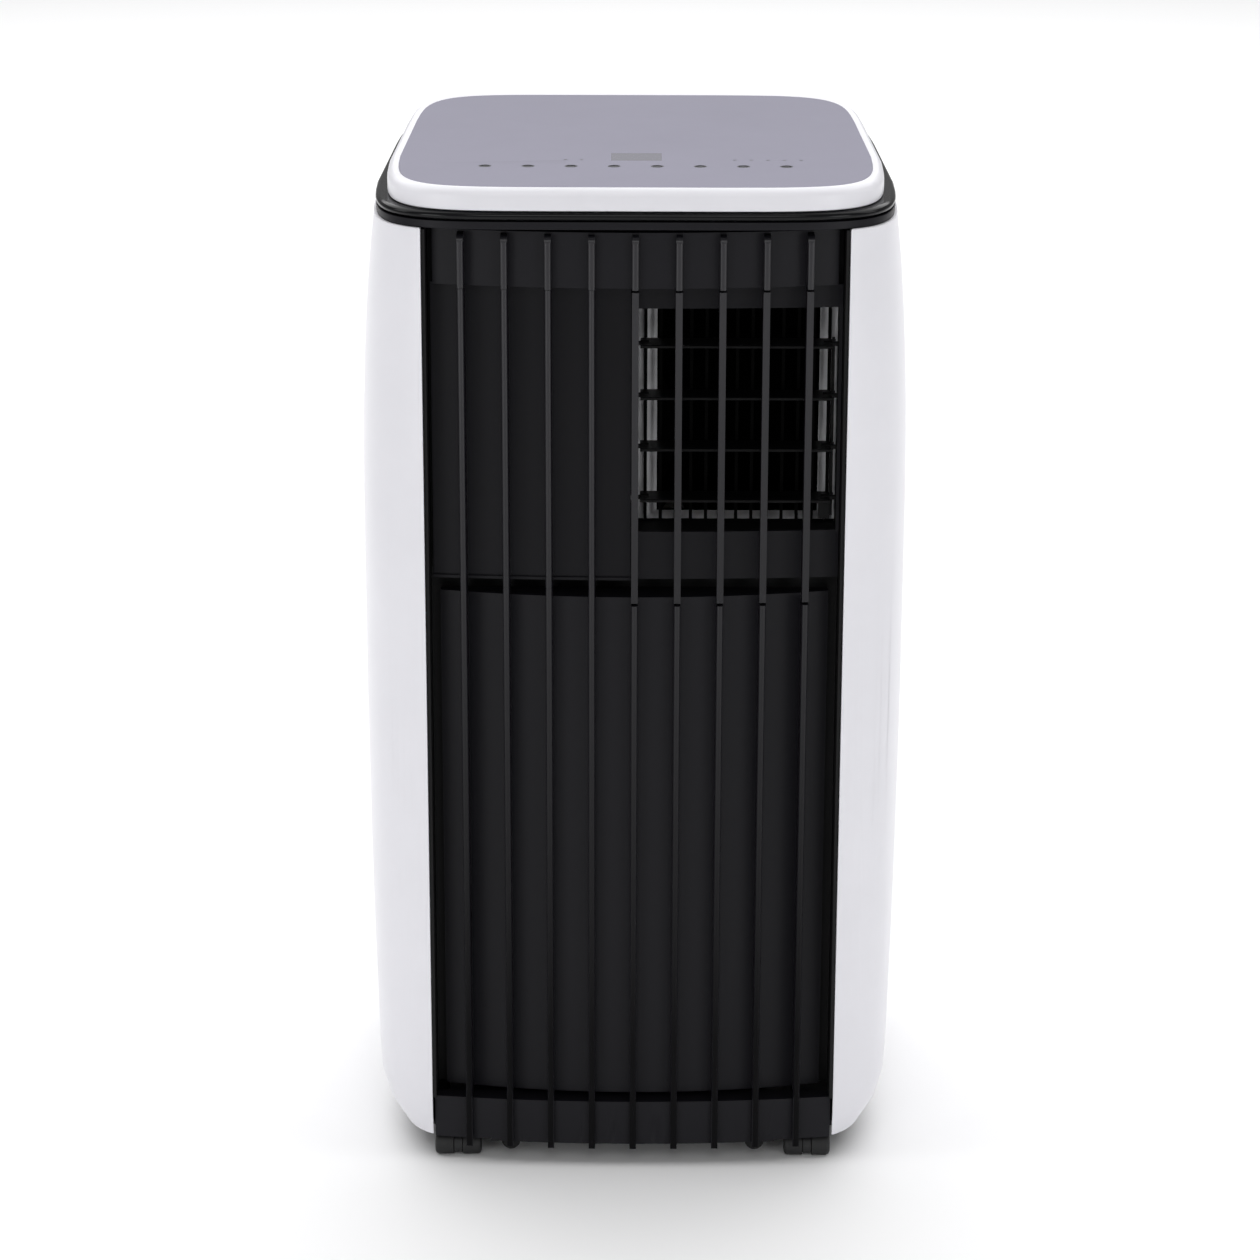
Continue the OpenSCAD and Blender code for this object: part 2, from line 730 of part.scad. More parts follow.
module evap_wheel() {
    color([0.2, 0.2, 0.2])
        translate([evap_x, 0, evap_z])
            blower_wheel(evap_y0 + 10, evap_y1 - 6, evap_y0 - 12);
}

module evap_motor() {
    color([0.6, 0.6, 0.62])
        translate([evap_x, 0, evap_z])
            fan_motor(30, evap_y0 - 22, evap_y0);
}

module cond_scroll() {
    color([0.3, 0.3, 0.31])
        difference() {
            translate([cond_x, 0, cond_z])
                rotate([0, -90, 0])
                    scroll(cond_y0, cond_y1, 424 - cond_z);
            block([-76, cond_y1 - 3, 284], [76, cond_y1 + 1, 420]);
        }
}

module cond_wheel() {
    color([0.2, 0.2, 0.2])
        translate([cond_x, 0, cond_z])
            blower_wheel(cond_y0 + 10, cond_y1 - 6, cond_y0 - 18);
}

module cond_motor() {
    color([0.6, 0.6, 0.62])
        translate([cond_x, 0, cond_z])
            fan_motor(36, cond_y0 - 32, cond_y0);
}

// Duct from the lower scroll to the round outlet in the back
module exhaust_duct() {
    color([0.3, 0.3, 0.31]) {
        difference() {
            block([-80, cond_y1 + 0.1, 280], [80, back_y - 0.2, 424]);
            block([-78, cond_y1 - 1, 282], [78, back_y - 3, 422]);
            rod_y(exhaust_r + 2, exhaust_x, exhaust_z, back_y - 4, back_y + 1);
        }
        // Safety bars behind the socket
        for (x = [-48:16:48])
            block([x - 1, back_y - 6, 281], [x + 1, back_y - 2.6, 423]);
    }
}

// Round socket on the back that the hose adapter pushes into
module exhaust_outlet() {
    color([0.1, 0.1, 0.105])
        difference() {
            union() {
                rod_y(exhaust_r + 3.8, exhaust_x, exhaust_z, back_y + 0.1, body_d / 2);
                rod_y(exhaust_r + 9, exhaust_x, exhaust_z, back_y + 4.1, back_y + 6.5);
            }
            rod_y(exhaust_r, exhaust_x, exhaust_z, back_y - 1, body_d / 2 + 1);
        }
}

// ---------- refrigerant circuit ----------

// Finned coil: stacked fins between end plates, threaded by tubes along X
module coil(lo, hi, rows) {
    fins = 22;
    step = (hi[0] - lo[0] - 6) / fins;
    tube_step = (hi[2] - lo[2]) / rows;
    for (x = [lo[0], hi[0] - 2])
        block([x, lo[1], lo[2]], [x + 2, hi[1], hi[2]]);
    for (i = [0:fins])
        block([lo[0] + 3 + step * i - 0.4, lo[1] + 1, lo[2] + 1], [lo[0] + 3 + step * i + 0.4, hi[1] - 1, hi[2] - 1]);
    for (k = [0:rows - 1])
        rod_x(3.5, (lo[1] + hi[1]) / 2, lo[2] + tube_step * (k + 0.5), lo[0] - 4, hi[0] + 4);
}

module evap_coil() {
    color([0.72, 0.73, 0.74])
        coil([-116, 118, deck_z + 2], [116, 148, 672], 10);
}

module cond_coil() {
    color([0.7, 0.71, 0.72])
        coil([-112, 112, pan_z + 6], [112, 148, 262], 9);
}

// Moulded box that leads the air from the upper coil to the blower's inlet
module evap_shroud() {
    color([0.85, 0.85, 0.85])
        difference() {
            block([-122, evap_y1 + 0.2, deck_z - 3], [122, 117, 678]);
            block([-118, evap_y1 + 4, 460], [118, 118, 674]);
            rod_y(blower_r - 14, evap_x, evap_z, evap_y1 - 1, evap_y1 + 5);
        }
}

// Deck between the warm and the cold half, with a rim that catches condensate
module mid_deck() {
    color([0.8, 0.8, 0.8]) {
        difference() {
            translate([0, 0, deck_z - 6])
                linear_extrude(height = 14)
                    polygon(plan_ring(shell_a(deck_z) - 6, 148, 13));
            translate([0, 0, deck_z - 3])
                linear_extrude(height = 14)
                    polygon(plan_ring(shell_a(deck_z) - 9, 145, 13));
            for (h = [[-140, 100, 6], [-158, 60, 3]])
                translate([h[0], h[1], deck_z - 10])
                    cylinder(r = h[2], h = 10);
        }
        for (x = [-90, 86])
            block([x, 119, deck_z - 4], [x + 4, 147, deck_z + 2]);
    }
}

comp_at = [-92, -74];

module compressor() {
    color([0.08, 0.08, 0.09])
        translate([comp_at[0], comp_at[1], 0]) {
            translate([0, 0, 60])
                cylinder(r = compressor_r, h = 193);
            translate([0, 0, 252])
                cylinder(r1 = compressor_r, r2 = compressor_r - 18, h = 16);
            translate([0, 0, 265])
                cylinder(r = 16, h = 13);
            for (t = [90:120:330])
                rotate([0, 0, t])
                    difference() {
                        block([compressor_r - 22, -14, 58], [compressor_r + 16, 14, 62]);
                        translate([compressor_r + 6, 0, 50])
                            cylinder(r = 5.1, h = 20);
                    }
        }
}

// Rubber grommets under the compressor's three feet, with their studs
module compressor_feet() {
    color([0.1, 0.1, 0.1])
        translate([comp_at[0], comp_at[1], 0])
            for (t = [90:120:330])
                rotate([0, 0, t])
                    translate([compressor_r + 6, 0, 24]) {
                        cylinder(r = 10, h = 34);
                        cylinder(r = 5, h = 46);
                    }
}

module discharge_pipe() {
    x = comp_at[0];
    y = comp_at[1];
    color([0.7, 0.4, 0.25])
        pipe([[x, y, 282], [x, y, 300], [-140, y, 300], [-140, 40, 300], [-140, 130, 249], [-121, 130, 249]], 4);
}

// Pipe from the upper coil down to the accumulator can and on to the compressor
module suction_line() {
    x = comp_at[0] + 78;
    y = comp_at[1] + 20;
    color([0.7, 0.4, 0.25]) {
        translate([x, y, 0])
            rotate_extrude()
                polygon([[0, 78], [8, 78], [20, 90], [20, 220], [8, 232], [0, 232]]);
        translate([x, y, 66])
            cylinder(r = 5, h = 14);
        rod_x(4, y, 71, comp_at[0] + 57.5, x);
        pipe([[x, y, 230], [x, y, 395], [-140, y, 395], [-140, 100, 395], [-140, 100, 446],
            [-140, 133, 446], [-125, 133, 446]], 4);
    }
}

// Fine copper tube wound into a few turns on its way to the upper coil
module capillary() {
    turns = 3.5;
    steps = 20;
    coil = [for (k = [0:turns * steps])
        let (t = 360 * k / steps)
        [-140 + 18 * cos(t), 60 + 18 * sin(t), 330 + 5 * k / steps]];
    color([0.7, 0.4, 0.25])
        tube(concat([[-122, 52, 316], [-122, 56, 327]], coil,
            [[-158, 55, 350], [-158, 54, 356], [-158, 58, 366], [-158, 60, 380], [-158, 60, 456],
            [-158, 64, 465], [-158, 74, 470], [-158, 123, 470], [-155, 130, 470], [-148, 133, 470],
            [-125, 133, 470]]), 1.5);
}

slinger_at = [-96, 66];

// Wheel that throws condensate from the sump onto the lower coil
module slinger_wheel() {
    paddles = 8;
    color([0.9, 0.9, 0.9])
        translate([slinger_at[0], 0, slinger_at[1]]) {
            rod_y(30, 0, 0, 103, 105);
            rod_y(3, 0, 0, 84, 105);
            for (i = [0:paddles - 1])
                rotate([0, 360 * i / paddles, 0])
                    block([10, 99, -1], [36, 107, 1]);
        }
}

module slinger_motor() {
    color([0.65, 0.65, 0.66])
        translate([slinger_at[0], 0, slinger_at[1]])
            difference() {
                union() {
                    rod_y(20, 0, 0, 66, 94);
                    block([-20, 66, pan_z + 4 - slinger_at[1]], [20, 69, 0]);
                }
                rod_y(3.06, 0, 0, 83, 95);
            }
}

// ---------- electrics ----------

module control_box() {
    color([0.75, 0.76, 0.77])
        difference() {
            block([52, -126, 80], [132, -54, 240]);
            block([54, -124, 82], [130, -52, 238]);
        }
}

module run_capacitor() {
    color([0.85, 0.85, 0.86])
        translate([92, -90, 82]) {
            cylinder(r = 22, h = 84);
            for (x = [-8, 8])
                translate([x, 0, 84])
                    cylinder(r = 2.5, h = 8);
        }
}

// ---------- back ----------

// Openings of the two filters in the back: [z0, z1]
filter_rows = [[466, 664], [74, 252]];
filter_hw = 112;

// Heights of the upper and lower drain spout
drain_z = [290, 62];

module rear_panel() {
    color([0.1, 0.1, 0.105])
        difference() {
            union() {
                block([-134, back_y, skirt_top_z + 0.5], [134, back_y + 4, shell_top_z - 1]);
                for (z = drain_z)
                    rod_y(11, 96, z, back_y - 12, back_y + 8);
                rod_y(9, -100, 60, back_y - 4, back_y + 4);
            }
            for (f = filter_rows)
                block([-filter_hw, back_y - 1, f[0]], [filter_hw, back_y + 5, f[1]]);
            rod_y(exhaust_r + 4, exhaust_x, exhaust_z, back_y - 1, back_y + 5);
            for (z = drain_z)
                rod_y(7, 96, z, back_y - 13, back_y + 9);
            rod_y(7.05, -100, 60, back_y - 5, back_y + 5);
        }
}

// Filter frame with its grille bars and the mesh behind them
module filter(z0, z1) {
    x = filter_hw - gap;
    bars = 12;
    step = (z1 - z0 - 12) / bars;
    difference() {
        block([-x, back_y - 6, z0 + gap], [x, back_y + 4.5, z1 - gap]);
        block([-x + 8, back_y - 7, z0 + 8], [x - 8, back_y + 6, z1 - 8]);
    }
    for (k = [1:bars - 1])
        block([-x + 7, back_y - 1, z0 + 6 + step * k - 2], [x - 7, back_y + 4, z0 + 6 + step * k + 2]);
    for (s = [-1, 0, 1])
        block([s * 52 - 2, back_y - 3, z0 + 7], [s * 52 + 2, back_y + 1, z1 - 7]);
    block([-x + 7, back_y - 5, z0 + 7], [x - 7, back_y - 4, z1 - 7]);
}

module upper_filter() {
    color([0.1, 0.1, 0.105])
        filter(filter_rows[0][0], filter_rows[0][1]);
}

module lower_filter() {
    color([0.1, 0.1, 0.105])
        filter(filter_rows[1][0], filter_rows[1][1]);
}

// Rubber stopper in the drain spout at height z
module drain_plug(z) {
    color([0.07, 0.07, 0.07]) {
        rod_y(6.94, 96, z, back_y - 8, back_y + 9);
        rod_y(10, 96, z, back_y + 8.1, back_y + 11.5);
    }
}

module cord_gland() {
    color([0.07, 0.07, 0.07])
        difference() {
            union() {
                rod_y(7, -100, 60, back_y - 10, back_y + 9);
                rod_y(9.5, -100, 60, back_y + 4.1, back_y + 7);
            }
            rod_y(3.7, -100, 60, back_y - 11, back_y + 10);
        }
}

// Pan-head screws down both edges of the back
module panel_screws() {
    color([0.3, 0.3, 0.3])
        for (x = [-124, 124], z = [90, 262, 440, 640])
            rod_y(3.6, x, z, screw_y + 0.02, screw_y + 2.2);
}

base_pan();
bumper_feet();
caster_body(-1, -1);  // caster_front_left
caster_body(1, -1);  // caster_front_right
caster_body(-1, 1);  // caster_back_left
caster_body(1, 1);  // caster_back_right
caster_wheels(-1, -1);  // wheels_front_left
caster_wheels(1, -1);  // wheels_front_right
caster_wheels(-1, 1);  // wheels_back_left
caster_wheels(1, 1);  // wheels_back_right
left_shell();
right_shell();
front_frame();
lower_panel();
upper_panel();
outlet_bezel();
visor();
top_frame();
collar();
lid();
control_glass();
display_window();
key_marks();
control_board();
outlet_duct();
finger_guard();
blade(1);  // louvre_1
blade(2);  // louvre_2
blade(3);  // louvre_3
blade(4);  // louvre_4
louvre_link();
louvre_motor();
evap_scroll();
evap_wheel();
evap_motor();
evap_coil();
evap_shroud();
mid_deck();
cond_scroll();
cond_wheel();
cond_motor();
cond_coil();
exhaust_duct();
exhaust_outlet();
compressor();
compressor_feet();
discharge_pipe();
suction_line();
capillary();
slinger_wheel();
slinger_motor();
control_box();
run_capacitor();
rear_panel();
upper_filter();
lower_filter();
drain_plug(drain_z[0]);  // drain_plug_upper
drain_plug(drain_z[1]);  // drain_plug_lower
cord_gland();
panel_screws();
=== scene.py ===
import json
import math

import bmesh
import bpy
from mathutils import Euler, Matrix, Vector

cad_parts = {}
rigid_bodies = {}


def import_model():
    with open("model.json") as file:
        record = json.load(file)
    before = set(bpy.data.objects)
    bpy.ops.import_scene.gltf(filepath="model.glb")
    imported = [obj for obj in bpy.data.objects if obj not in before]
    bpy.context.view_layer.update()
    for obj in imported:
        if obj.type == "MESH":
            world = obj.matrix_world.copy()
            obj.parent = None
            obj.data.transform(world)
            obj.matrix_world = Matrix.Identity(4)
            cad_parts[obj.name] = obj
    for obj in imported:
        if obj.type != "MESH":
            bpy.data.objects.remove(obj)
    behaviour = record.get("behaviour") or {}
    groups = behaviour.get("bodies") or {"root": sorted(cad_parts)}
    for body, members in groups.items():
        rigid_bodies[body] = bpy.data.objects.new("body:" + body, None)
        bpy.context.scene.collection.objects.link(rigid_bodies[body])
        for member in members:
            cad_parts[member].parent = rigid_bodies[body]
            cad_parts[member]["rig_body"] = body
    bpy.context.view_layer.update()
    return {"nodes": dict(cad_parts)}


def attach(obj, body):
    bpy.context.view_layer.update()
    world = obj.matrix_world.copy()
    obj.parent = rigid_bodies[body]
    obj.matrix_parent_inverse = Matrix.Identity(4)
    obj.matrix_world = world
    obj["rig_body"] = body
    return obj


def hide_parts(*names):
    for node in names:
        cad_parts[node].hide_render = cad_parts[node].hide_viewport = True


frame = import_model()

# Studio: a pale floor under the unit, a long lens a little above lid height, and broad
# soft lights behind, overhead, in front and on both sides.
room_glow = 0.24
world = bpy.data.worlds.new("studio")
world.use_nodes = True
background = world.node_tree.nodes["Background"]
background.inputs["Color"].default_value = (1.0, 1.0, 1.0, 1.0)
background.inputs["Strength"].default_value = room_glow
bpy.context.scene.world = world
bpy.context.scene.view_settings.view_transform = "Standard"

pitch_down = math.radians(18.31)
roll = math.radians(0.17)
camera_data = bpy.data.cameras.new("camera")
camera_data.lens = 110.0
camera_data.sensor_width = 36.0
camera = bpy.data.objects.new("camera", camera_data)
camera.location = (-0.003, -2.713, 1.250)
aim = Euler((math.pi / 2 - pitch_down, 0, 0)).to_matrix() @ Matrix.Rotation(roll, 3, "Z")
camera.rotation_euler = aim.to_euler()
bpy.context.scene.collection.objects.link(camera)
bpy.context.scene.camera = camera


def softbox(name, place, target, size, watts):
    """A rectangular lamp at one place, turned to face a target."""
    lamp = bpy.data.lights.new(name, "AREA")
    lamp.shape = "RECTANGLE"
    lamp.size, lamp.size_y = size
    lamp.energy = watts
    lamp_object = bpy.data.objects.new(name, lamp)
    lamp_object.location = place
    facing = Vector(target) - Vector(place)
    lamp_object.rotation_euler = facing.to_track_quat("-Z", "Y").to_euler()
    bpy.context.scene.collection.objects.link(lamp_object)


softbox("overhead_light", (0.0, 2.2, 3.4), (0.0, 1.6, 0.0), (7.0, 7.0), 300)
softbox("left_light", (-1.7, -2.5, 0.62), (0.0, 0.0, 0.5), (0.9, 1.2), 12)
softbox("right_light", (1.7, -2.5, 0.62), (0.0, 0.0, 0.5), (0.9, 1.2), 11)
softbox("left_fill", (-2.4, -0.3, 1.9), (0.0, 0.0, 0.7), (1.2, 1.2), 9)
softbox("right_fill", (2.4, -0.3, 1.9), (0.0, 0.0, 0.7), (1.2, 1.2), 7)
softbox("front_light", (0.0, -3.3, 2.7), (0.0, -0.6, 0.2), (1.6, 1.2), 15)

floor_radius = 9.0
bpy.ops.object.select_all(action="DESELECT")
bpy.ops.mesh.primitive_circle_add(
    vertices=96, radius=floor_radius, fill_type="NGON", location=(0, 0, 0))
floor = bpy.context.active_object
floor.name = "floor"
floor_paint = bpy.data.materials.new("pale_floor")
floor_paint.use_nodes = True
floor_shader = floor_paint.node_tree.nodes["Principled BSDF"]
floor_shader.inputs["Base Color"].default_value = (0.93, 0.93, 0.935, 1.0)
floor_shader.inputs["Roughness"].default_value = 0.9
floor_shader.inputs["Specular IOR Level"].default_value = 0.1
floor.data.materials.append(floor_paint)


# Base pan with its front skirt: one moulding in black plastic that carries the
# machinery. Its edges come off the mould with a small round.
def plastic(name, colour, rough, grain=0.05, grain_size=2600.0, spec=0.4, drift=0.12, coat=0.0):
    """Moulded plastic: a spark-eroded grain, patches a touch duller, faint colour drift."""
    patch_scale = 9.0
    grain_depth = 0.0002
    darkest, palest = 0.94, 1.05
    material = bpy.data.materials.new(name)
    material.use_nodes = True
    nodes, links = material.node_tree.nodes, material.node_tree.links
    shader = nodes["Principled BSDF"]
    shader.inputs["Specular IOR Level"].default_value = spec
    shader.inputs["Coat Weight"].default_value = coat
    shader.inputs["Coat Roughness"].default_value = 0.06
    place = nodes.new("ShaderNodeTexCoord")
    handled = nodes.new("ShaderNodeTexNoise")
    handled.inputs["Scale"].default_value = patch_scale
    handled.inputs["Detail"].default_value = 6.0
    handled.inputs["Roughness"].default_value = 0.65
    links.new(place.outputs["Object"], handled.inputs["Vector"])
    dull = nodes.new("ShaderNodeMapRange")
    dull.inputs["To Min"].default_value = rough * (1.0 - drift)
    dull.inputs["To Max"].default_value = rough * (1.0 + drift)
    links.new(handled.outputs["Fac"], dull.inputs["Value"])
    links.new(dull.outputs["Result"], shader.inputs["Roughness"])
    tint = nodes.new("ShaderNodeMix")
    tint.data_type = "RGBA"
    tint.inputs["A"].default_value = (*[c * darkest for c in colour], 1.0)
    tint.inputs["B"].default_value = (*[min(1.0, c * palest) for c in colour], 1.0)
    links.new(handled.outputs["Fac"], tint.inputs["Factor"])
    links.new(tint.outputs["Result"], shader.inputs["Base Color"])
    texture = nodes.new("ShaderNodeTexNoise")
    texture.inputs["Scale"].default_value = grain_size
    texture.inputs["Detail"].default_value = 2.0
    links.new(place.outputs["Object"], texture.inputs["Vector"])
    bump = nodes.new("ShaderNodeBump")
    bump.inputs["Strength"].default_value = grain
    bump.inputs["Distance"].default_value = grain_depth
    links.new(texture.outputs["Fac"], bump.inputs["Height"])
    links.new(bump.outputs["Normal"], shader.inputs["Normal"])
    return material


def moulding(node, material, round_edge, sharp=28.0, fin_nose=0.0):
    """The node's own shape with its sharp edges rounded, put in place of the plain node."""
    same_point = 0.000002
    flat_within = math.radians(0.4)
    shortest_fin_edge = 0.004
    plumb_within = 0.0002
    nose_depth = 0.0005
    bpy.ops.object.select_all(action="DESELECT")
    source = frame["nodes"][node]
    piece = bpy.data.objects.new(node + "_moulded", source.data.copy())
    bpy.context.scene.collection.objects.link(piece)
    piece.data.materials.clear()
    bpy.context.view_layer.objects.active = piece
    piece.select_set(True)
    bpy.ops.object.mode_set(mode="EDIT")
    bpy.ops.mesh.select_all(action="SELECT")
    bpy.ops.mesh.remove_doubles(threshold=same_point)
    bpy.ops.mesh.dissolve_limited(angle_limit=flat_within)
    if fin_nose:
        # The two upright corners along the front of every fin
        bpy.ops.mesh.select_all(action="DESELECT")
        shape = bmesh.from_edit_mesh(piece.data)
        for edge in shape.edges:
            ends = [corner.co for corner in edge.verts]
            tall = abs(ends[0].z - ends[1].z) > shortest_fin_edge
            plumb = abs(ends[0].x - ends[1].x) < plumb_within
            in_front = all(abs(end.y - fin_front(end.x)) < nose_depth for end in ends)
            edge.select_set(tall and plumb and in_front)
        bmesh.update_edit_mesh(piece.data)
        bpy.ops.mesh.bevel(offset=fin_nose, segments=4, affect="EDGES")
    bpy.ops.object.mode_set(mode="OBJECT")
    if round_edge:
        bevel = piece.modifiers.new("edge", "BEVEL")
        bevel.width = round_edge
        bevel.segments = 2
        bevel.limit_method = "ANGLE"
        bevel.angle_limit = math.radians(sharp)
        bpy.ops.object.modifier_apply(modifier="edge")
    bpy.ops.object.shade_smooth_by_angle(angle=math.radians(sharp))
    level = piece.modifiers.new("level", "WEIGHTED_NORMAL")
    level.keep_sharp = True
    bpy.ops.object.modifier_apply(modifier="level")
    piece.data.materials.append(material)
    # Faces along the fin fronts take the painted-highlight black
    if fin_nose:
        piece.data.materials.append(painted_highlight_black)
        for face in piece.data.polygons:
            in_front = face.center.y < fin_front(face.center.x) + nose_depth
            face.material_index = 1 if in_front else 0
    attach(piece, source["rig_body"])
    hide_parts(node)
    return piece


def fin_front(x):
    """Where a fin's front edge lies: on one shallow arc across the unit."""
    foremost = -0.179
    arc_radius = 1.48
    return foremost + x ** 2 / (2 * arc_radius)


fin_nose_round = 0.0019
black_satin = plastic("black_satin", (0.008, 0.0077, 0.0102), 0.42, grain=0.12, spec=0.165)
# Fin fronts: a lighter, shinier black that paints a highlight on the rounded noses
painted_highlight_black = plastic("painted_highlight_black", (0.020, 0.0195, 0.022), 0.34, grain=0.05, spec=0.26)
# The painted highlight on the fin fronts fades towards the floor: darker and duller low down
highlight_nodes, highlight_links = painted_highlight_black.node_tree.nodes, painted_highlight_black.node_tree.links
highlight_place = highlight_nodes.new("ShaderNodeTexCoord")
highlight_axes = highlight_nodes.new("ShaderNodeSeparateXYZ")
highlight_links.new(highlight_place.outputs["Object"], highlight_axes.inputs["Vector"])
highlight_fade = highlight_nodes.new("ShaderNodeMapRange")
highlight_low, highlight_high = 0.10, 0.62
highlight_faint, highlight_full = 0.2, 1.25
highlight_fade.inputs["From Min"].default_value = highlight_low
highlight_fade.inputs["From Max"].default_value = highlight_high
highlight_fade.inputs["To Min"].default_value = highlight_faint
highlight_fade.inputs["To Max"].default_value = highlight_full
highlight_links.new(highlight_axes.outputs["Z"], highlight_fade.inputs["Value"])
highlight_tint = highlight_nodes.new("ShaderNodeVectorMath")
highlight_tint.operation = "SCALE"
highlight_shader = highlight_nodes["Principled BSDF"]
highlight_links.new(highlight_shader.inputs["Base Color"].links[0].from_socket, highlight_tint.inputs["Vector"])
highlight_links.new(highlight_fade.outputs["Result"], highlight_tint.inputs["Scale"])
highlight_links.new(highlight_tint.outputs["Vector"], highlight_shader.inputs["Base Color"])
highlight_spec = 0.25
highlight_shine = highlight_nodes.new("ShaderNodeMath")
highlight_shine.operation = "MULTIPLY"
highlight_shine.inputs[1].default_value = highlight_spec
highlight_links.new(highlight_fade.outputs["Result"], highlight_shine.inputs[0])
highlight_links.new(highlight_shine.outputs["Value"], highlight_shader.inputs["Specular IOR Level"])
# The skirt's fin fronts take the painted-highlight black as well
moulding("base_pan", black_satin, 0.0005, fin_nose=fin_nose_round)


# Round rubber feet behind the front edge: moulded in one with their studs and
# pushed into the pan.
rubber = plastic("rubber", (0.012, 0.012, 0.012), 0.72, grain=0.3, grain_size=1400.0, spec=0.25)
moulding("bumper_feet", rubber, 0.0)


# Twin-wheel casters: a nylon swivel body on a steel stem with a wheel pressed on
# each end of the axle. The treads have a coarser grain and patchier sheen.
nylon = plastic("caster_nylon", (0.018, 0.018, 0.019), 0.5, grain=0.2, spec=0.35)
tread = plastic("wheel_nylon", (0.014, 0.014, 0.0145), 0.55,
                grain=0.35, grain_size=900.0, spec=0.35, drift=0.3)
for corner in ("front_left", "front_right", "back_left", "back_right"):
    moulding("caster_" + corner, nylon, 0.0004)
    moulding("wheels_" + corner, tread, 0.0003)


# Side shells: tall bulged skins in white plastic, polished on the outside, with a
# rounded edge where they meet the black front.
white_gloss = plastic("white_gloss", (0.775, 0.77, 0.81), 0.32, grain=0.02, spec=0.4, drift=0.1)
for side in ("left_shell", "right_shell"):
    moulding(side, white_gloss, 0.0008)


# Frame behind the front: black plastic, plain, with a cheek that hides the edge of
# each side shell.
black_inner = plastic("black_inner", (0.006, 0.006, 0.0065), 0.6, grain=0.1, spec=0.2)
moulding("front_frame", black_inner, 0.0004)


# Front panels, outlet frame and brow: black mouldings with tall thin fins. The fins'
# front edges are rounded and painted a lighter, shinier black as a highlight.
for node, edge in (("lower_panel", 0.0005), ("upper_panel", 0.0005), ("outlet_bezel", 0.0003),
                   ("visor", 0.0005)):
    moulding(node, black_satin, edge, fin_nose=fin_nose_round)


# Lip of the top frame: the same black plastic with a soft edge that shows as a line
# of light under the collar.
moulding("top_frame", black_satin, 0.0012)


# Collar: a polished black band with a rolled section, pressed between lid and frame.
black_gloss = plastic("black_gloss", (0.004, 0.004, 0.0048), 0.16, grain=0.0, spec=0.2, drift=0.15)
moulding("collar", black_gloss, 0.0, sharp=40.0)


# Lid: white polished moulding with a rolled rim round the recess for the panel.
moulding("lid", white_gloss, 0.0, sharp=40.0)


# Touch panel: a clear sheet painted lavender grey on its back, with the display
# window and the key marks showing through it.
panel_grey = plastic("panel_grey", (0.335, 0.325, 0.42), 0.16, grain=0.0, spec=0.5, drift=0.08, coat=0.6)
display_grey = plastic("display_grey", (0.26, 0.255, 0.30), 0.12, grain=0.0, spec=0.5, coat=0.6)
mark_grey = plastic("mark_grey", (0.03, 0.03, 0.036), 0.4, grain=0.0, spec=0.2)
moulding("control_glass", panel_grey, 0.0)
moulding("display_window", display_grey, 0.0)
moulding("key_marks", mark_grey, 0.0)


# Outlet: a straight black tunnel, a black finger guard, four black louvre blades on
# their pins, and the bar that ties them together at the right.
louvre_black = plastic("louvre_black", (0.004, 0.004, 0.0045), 0.42, grain=0.08, spec=0.14)
moulding("outlet_duct", black_inner, 0.0003)
guard_black = plastic("guard_black", (0.002, 0.002, 0.002), 0.75, grain=0.1, spec=0.06)
moulding("finger_guard", guard_black, 0.0003)
for number in range(1, 5):
    moulding(f"louvre_{number}", louvre_black, 0.0003)
moulding("louvre_link", louvre_black, 0.0003)


# Cool-air blower housing: light grey where its mouth flares out behind the finger
# guard, and painted near-black inside as shade deep in the housing. It is screwed to the deck.
interior_shade_black = plastic("interior_shade_black", (0.0015, 0.0015, 0.0015), 0.9, grain=0.6, grain_size=300.0, spec=0.02)
duct_grey = plastic("duct_grey", (0.88, 0.88, 0.9), 0.38, grain=0.25, grain_size=900.0, spec=0.5)
scroll_piece = moulding("evap_scroll", duct_grey, 0.0)
scroll_piece.data.materials.append(interior_shade_black)
mouth_back = -0.1165
# Faces behind the mouth get the near-black of the painted shade
for face in scroll_piece.data.polygons:
    face.material_index = 0 if face.center.y < mouth_back else 1


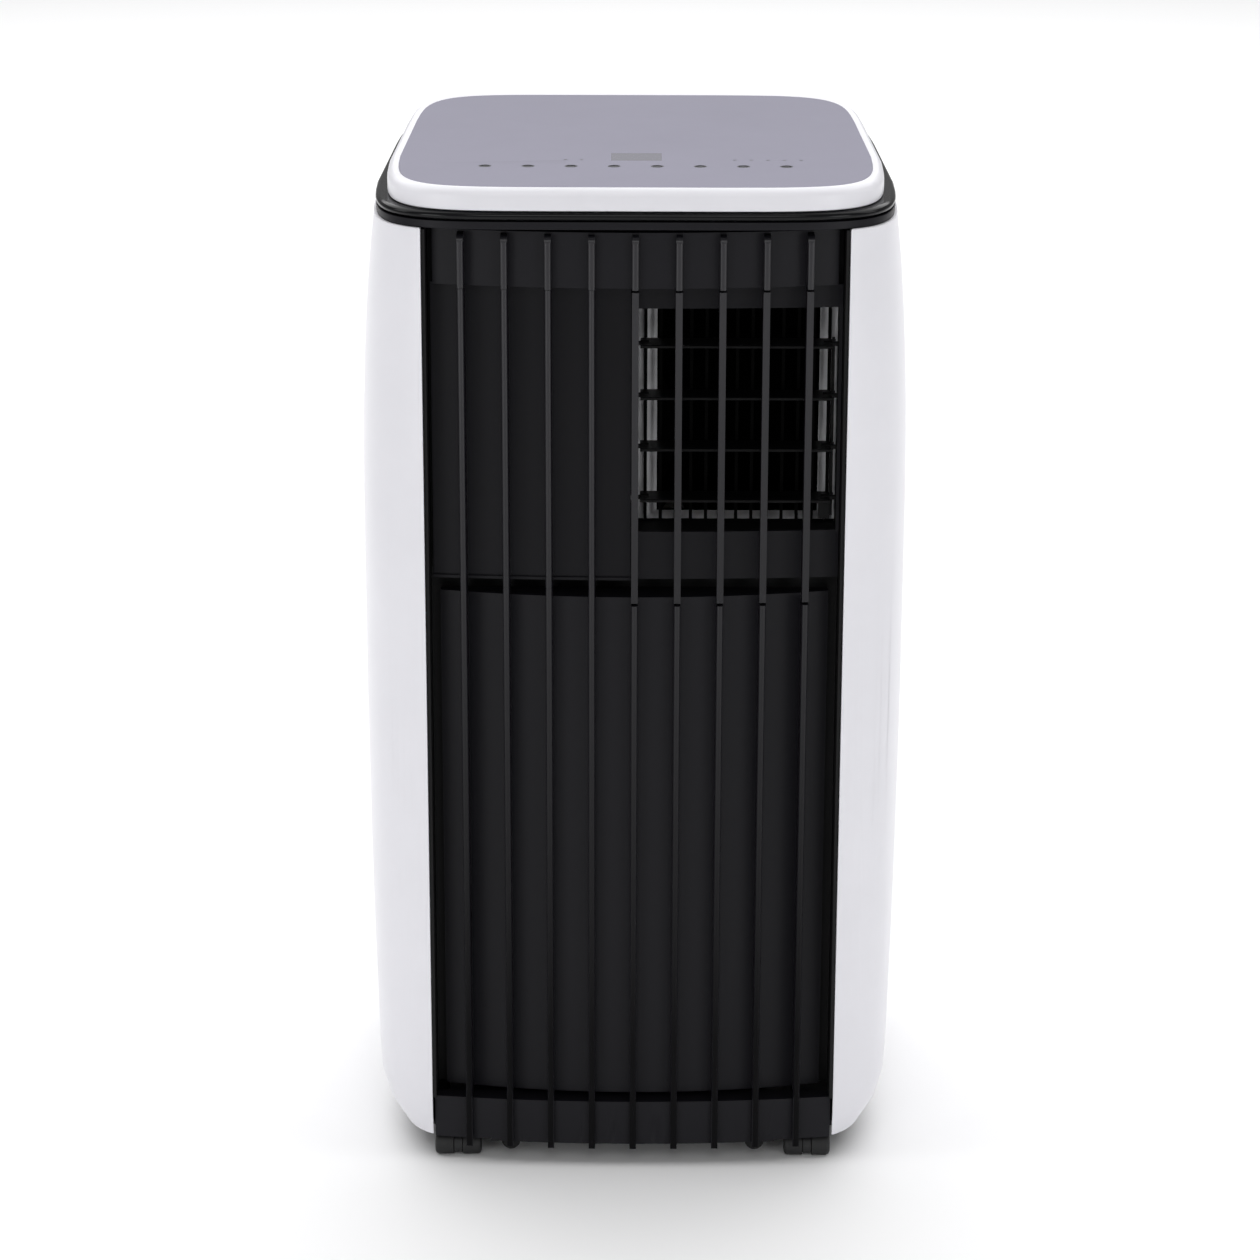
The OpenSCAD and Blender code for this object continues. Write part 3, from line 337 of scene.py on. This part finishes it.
# Machinery inside: motors, wheels, coils, pipes, compressor and boards, screwed or
# clipped to the deck and the pan. It keeps its plain shapes, each in its real finish.
def metal(name, colour, rough, brushed=120.0):
    """Bare or plated metal: brushed roughness and a faint stain."""
    material = plastic(name, colour, rough, grain=0.1, grain_size=brushed, spec=0.5, drift=0.25)
    material.node_tree.nodes["Principled BSDF"].inputs["Metallic"].default_value = 1.0
    return material


def refinish(material, *names):
    """Give CAD nodes that stay as they are a new material."""
    for name in names:
        node = frame["nodes"][name]
        node.data.materials.clear()
        node.data.materials.append(material)


zinc = metal("zinc_plate", (0.56, 0.57, 0.58), 0.36)
copper = metal("copper_tube", (0.62, 0.31, 0.19), 0.34)
fin_stock = metal("fin_stock", (0.72, 0.73, 0.74), 0.42, brushed=700.0)
enamel = plastic("black_enamel", (0.012, 0.012, 0.013), 0.28, grain=0.05, spec=0.5)
housing_grey = plastic("housing_grey", (0.09, 0.09, 0.095), 0.5, grain=0.15)
foam = plastic("white_foam", (0.7, 0.7, 0.7), 0.85, grain=0.8, grain_size=260.0, spec=0.2)
board_green = plastic("board_green", (0.015, 0.11, 0.045), 0.35, grain=0.1, spec=0.5)
refinish(zinc, "evap_motor", "cond_motor", "slinger_motor", "louvre_motor")
refinish(zinc, "control_box", "run_capacitor")
refinish(copper, "discharge_pipe", "suction_line", "capillary")
refinish(fin_stock, "evap_coil", "cond_coil")
refinish(enamel, "compressor")
refinish(housing_grey, "cond_scroll", "exhaust_duct", "mid_deck", "cond_wheel")
# The blower wheel takes the same near-black, deepening the painted shade inside the housing
refinish(interior_shade_black, "evap_wheel")
refinish(foam, "evap_shroud", "slinger_wheel")
refinish(board_green, "control_board")
refinish(rubber, "compressor_feet")


# Back: black panel with two slide-out filter grilles, the round exhaust socket, two
# stoppered drains, the cord gland and its screws.
moulding("rear_panel", black_satin, 0.0006)
for node in ("upper_filter", "lower_filter"):
    moulding(node, black_satin, 0.0004)
moulding("exhaust_outlet", black_satin, 0.0006)
for node in ("drain_plug_upper", "drain_plug_lower", "cord_gland"):
    moulding(node, rubber, 0.0006)
moulding("panel_screws", zinc, 0.0004)
